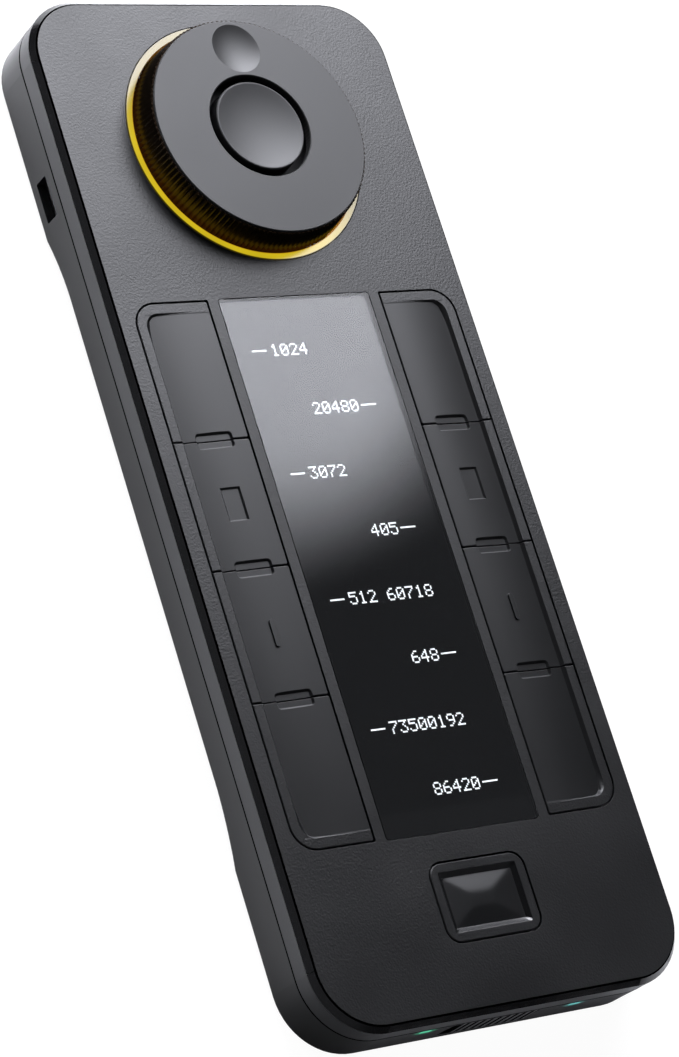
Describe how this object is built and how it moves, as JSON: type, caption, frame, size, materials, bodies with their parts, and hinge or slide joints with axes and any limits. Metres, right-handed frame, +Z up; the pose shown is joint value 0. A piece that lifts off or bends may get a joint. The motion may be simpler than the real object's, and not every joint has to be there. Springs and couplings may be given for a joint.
{
  "type": "macro keypad with dial",
  "caption": "Slim hand-sized keypad: columns of dished keys beside a long display, a button below it, and a knurled dial with a lit ring and a push button in its middle.",
  "frame": {"origin": "middle of the footprint on the surface the feet stand on", "axes": "+X across the keypad to its right, +Y along it towards the dial, +Z up out of the face"},
  "size_m": [0.062, 0.1566, 0.017],
  "materials": {
    "cover_grain": "fine leather-like grain, near black",
    "shell_plastic": "smooth satin, near black",
    "trim_gloss": "polished black bevel",
    "key_plastic": "fine satin, near black",
    "set_satin": "fine satin, near black",
    "set_gloss": "polished black",
    "dial_satin": "flat satin, dark grey",
    "knurl_plastic": "black, fluted",
    "middle_satin": "satin, dark grey, dished",
    "inner_plastic": "plain moulded",
    "spring_steel": "bright",
    "magnet": "nickel plated",
    "chip_black": "moulded resin",
    "ring_light": "translucent, lit warm yellow",
    "led_white": "clear lens on white",
    "display_glass": "polished dark glass",
    "display_panel": "black with fine white marks",
    "flex_amber": "amber film",
    "connector_white": "plain moulded",
    "board_green": "solder mask",
    "switch_body": "plain moulded",
    "plunger_plastic": "plain moulded",
    "shield_steel": "tinned",
    "socket_steel": "bright",
    "slider_plastic": "satin with raised ribs",
    "light_green": "translucent, lit green",
    "light_cyan": "translucent, lit cyan",
    "battery_foil": "pouch foil",
    "adhesive_foam": "foam tape",
    "lead_rubber": "soft insulation",
    "foot_rubber": "matt, grippy",
    "screw_steel": "blackened"
  },
  "bodies": {
    "housing": {"battery": "battery_foil", "battery_leads": "lead_rubber", "battery_pad": "adhesive_foam", "battery_plug": "connector_white", "bottom_shell": "shell_plastic", "charge_socket": "socket_steel", "cover_screws": "screw_steel", "dial_button_switch": "switch_body", "dial_clip": "spring_steel", "dial_post": "inner_plastic", "display_carrier": "inner_plastic", "display_flex": "flex_amber", "display_glass": "display_glass", "display_panel": "display_panel", "edge_trim": "trim_gloss", "encoder_sensor": "chip_black", "feet": "foot_rubber", "flex_connector": "connector_white", "key_switches": "switch_body", "light_ring": "ring_light", "main_board": "board_green", "power_switch": "switch_body", "processor": "chip_black", "radio_module": "shield_steel", "ring_leds": "led_white", "set_switch": "switch_body", "status_leds": "led_white", "status_pipe_left": "light_green", "status_pipe_right": "light_cyan", "top_cover": "cover_grain"},
    "dial": {"dial_cap": "dial_satin", "dial_skirt": "knurl_plastic", "encoder_magnet": "magnet"},
    "middle_button": {"dial_button": "middle_satin", "dial_button_plunger": "plunger_plastic"},
    "lower_button": {"set_button": "set_satin", "set_pad": "set_gloss", "set_plunger": "plunger_plastic"},
    "slider": {"power_slider": "slider_plastic", "power_lever": "plunger_plastic"},
    "left_button_1": {"left_key_1": "key_plastic", "left_plunger_1": "plunger_plastic"},
    "left_button_2": {"left_key_2": "key_plastic", "left_plunger_2": "plunger_plastic"},
    "left_button_3": {"left_key_3": "key_plastic", "left_plunger_3": "plunger_plastic"},
    "left_button_4": {"left_key_4": "key_plastic", "left_plunger_4": "plunger_plastic"},
    "right_button_1": {"right_key_1": "key_plastic", "right_plunger_1": "plunger_plastic"},
    "right_button_2": {"right_key_2": "key_plastic", "right_plunger_2": "plunger_plastic"},
    "right_button_3": {"right_key_3": "key_plastic", "right_plunger_3": "plunger_plastic"},
    "right_button_4": {"right_key_4": "key_plastic", "right_plunger_4": "plunger_plastic"}
  },
  "joints": [
    {"name": "dial_spin", "type": "hinge", "parent": "housing", "child": "dial", "pos_m": [0, 0.05446, 0.012], "axis": [0, 0, 1], "continuous": true},
    {"name": "middle_press", "type": "slide", "parent": "housing", "child": "middle_button", "axis": [0, 0, -1], "range_m": [0, 0.0005], "stiffness_N_per_m": 2000},
    {"name": "lower_press", "type": "slide", "parent": "housing", "child": "lower_button", "axis": [0, 0, -1], "range_m": [0, 0.0005], "stiffness_N_per_m": 2000},
    {"name": "power_slide", "type": "slide", "parent": "housing", "child": "slider", "axis": [-1, 0, 0], "range_m": [0, 0.002]},
    {"name": "left_press_1", "type": "slide", "parent": "housing", "child": "left_button_1", "axis": [0, 0, -1], "range_m": [0, 0.0005], "stiffness_N_per_m": 2000},
    {"name": "left_press_2", "type": "slide", "parent": "housing", "child": "left_button_2", "axis": [0, 0, -1], "range_m": [0, 0.0005], "stiffness_N_per_m": 2000},
    {"name": "left_press_3", "type": "slide", "parent": "housing", "child": "left_button_3", "axis": [0, 0, -1], "range_m": [0, 0.0005], "stiffness_N_per_m": 2000},
    {"name": "left_press_4", "type": "slide", "parent": "housing", "child": "left_button_4", "axis": [0, 0, -1], "range_m": [0, 0.0005], "stiffness_N_per_m": 2000},
    {"name": "right_press_1", "type": "slide", "parent": "housing", "child": "right_button_1", "axis": [0, 0, -1], "range_m": [0, 0.0005], "stiffness_N_per_m": 2000},
    {"name": "right_press_2", "type": "slide", "parent": "housing", "child": "right_button_2", "axis": [0, 0, -1], "range_m": [0, 0.0005], "stiffness_N_per_m": 2000},
    {"name": "right_press_3", "type": "slide", "parent": "housing", "child": "right_button_3", "axis": [0, 0, -1], "range_m": [0, 0.0005], "stiffness_N_per_m": 2000},
    {"name": "right_press_4", "type": "slide", "parent": "housing", "child": "right_button_4", "axis": [0, 0, -1], "range_m": [0, 0.0005], "stiffness_N_per_m": 2000}
  ]
}
